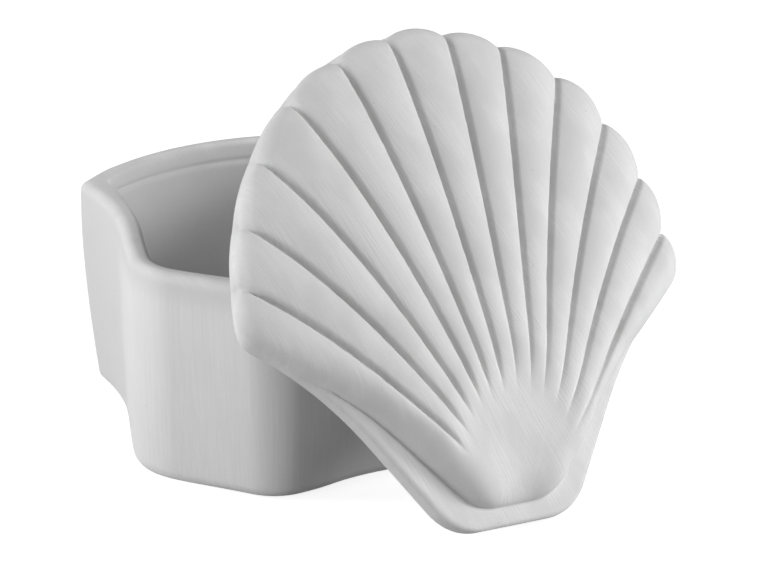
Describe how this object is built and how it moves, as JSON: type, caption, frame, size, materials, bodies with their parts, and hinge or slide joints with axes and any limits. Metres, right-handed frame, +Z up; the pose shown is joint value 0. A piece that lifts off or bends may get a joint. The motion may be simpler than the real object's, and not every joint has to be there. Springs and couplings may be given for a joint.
{
  "type": "shell trinket box",
  "caption": "Scallop-shaped ceramic trinket box with its ribbed lid lifted off and leaning on the rim of the open tray.",
  "frame": {"origin": "middle of the flat foot of the box, on the surface that it stands on, halfway between the hinge end and the fan", "axes": "+Z up; +Y from the hinge end of the box towards its fan; +X towards the wing that the lid leans on"},
  "size_m": [0.1678, 0.1648, 0.1197],
  "materials": {
    "bisque": "matte"
  },
  "bodies": {
    "box": {"box": "bisque"},
    "lid": {"lid": "bisque"}
  },
  "joints": [
    {"name": "lid_lift", "type": "slide", "parent": "box", "child": "lid", "axis": [0, 0, 1], "range_m": [0, 0.065]}
  ]
}
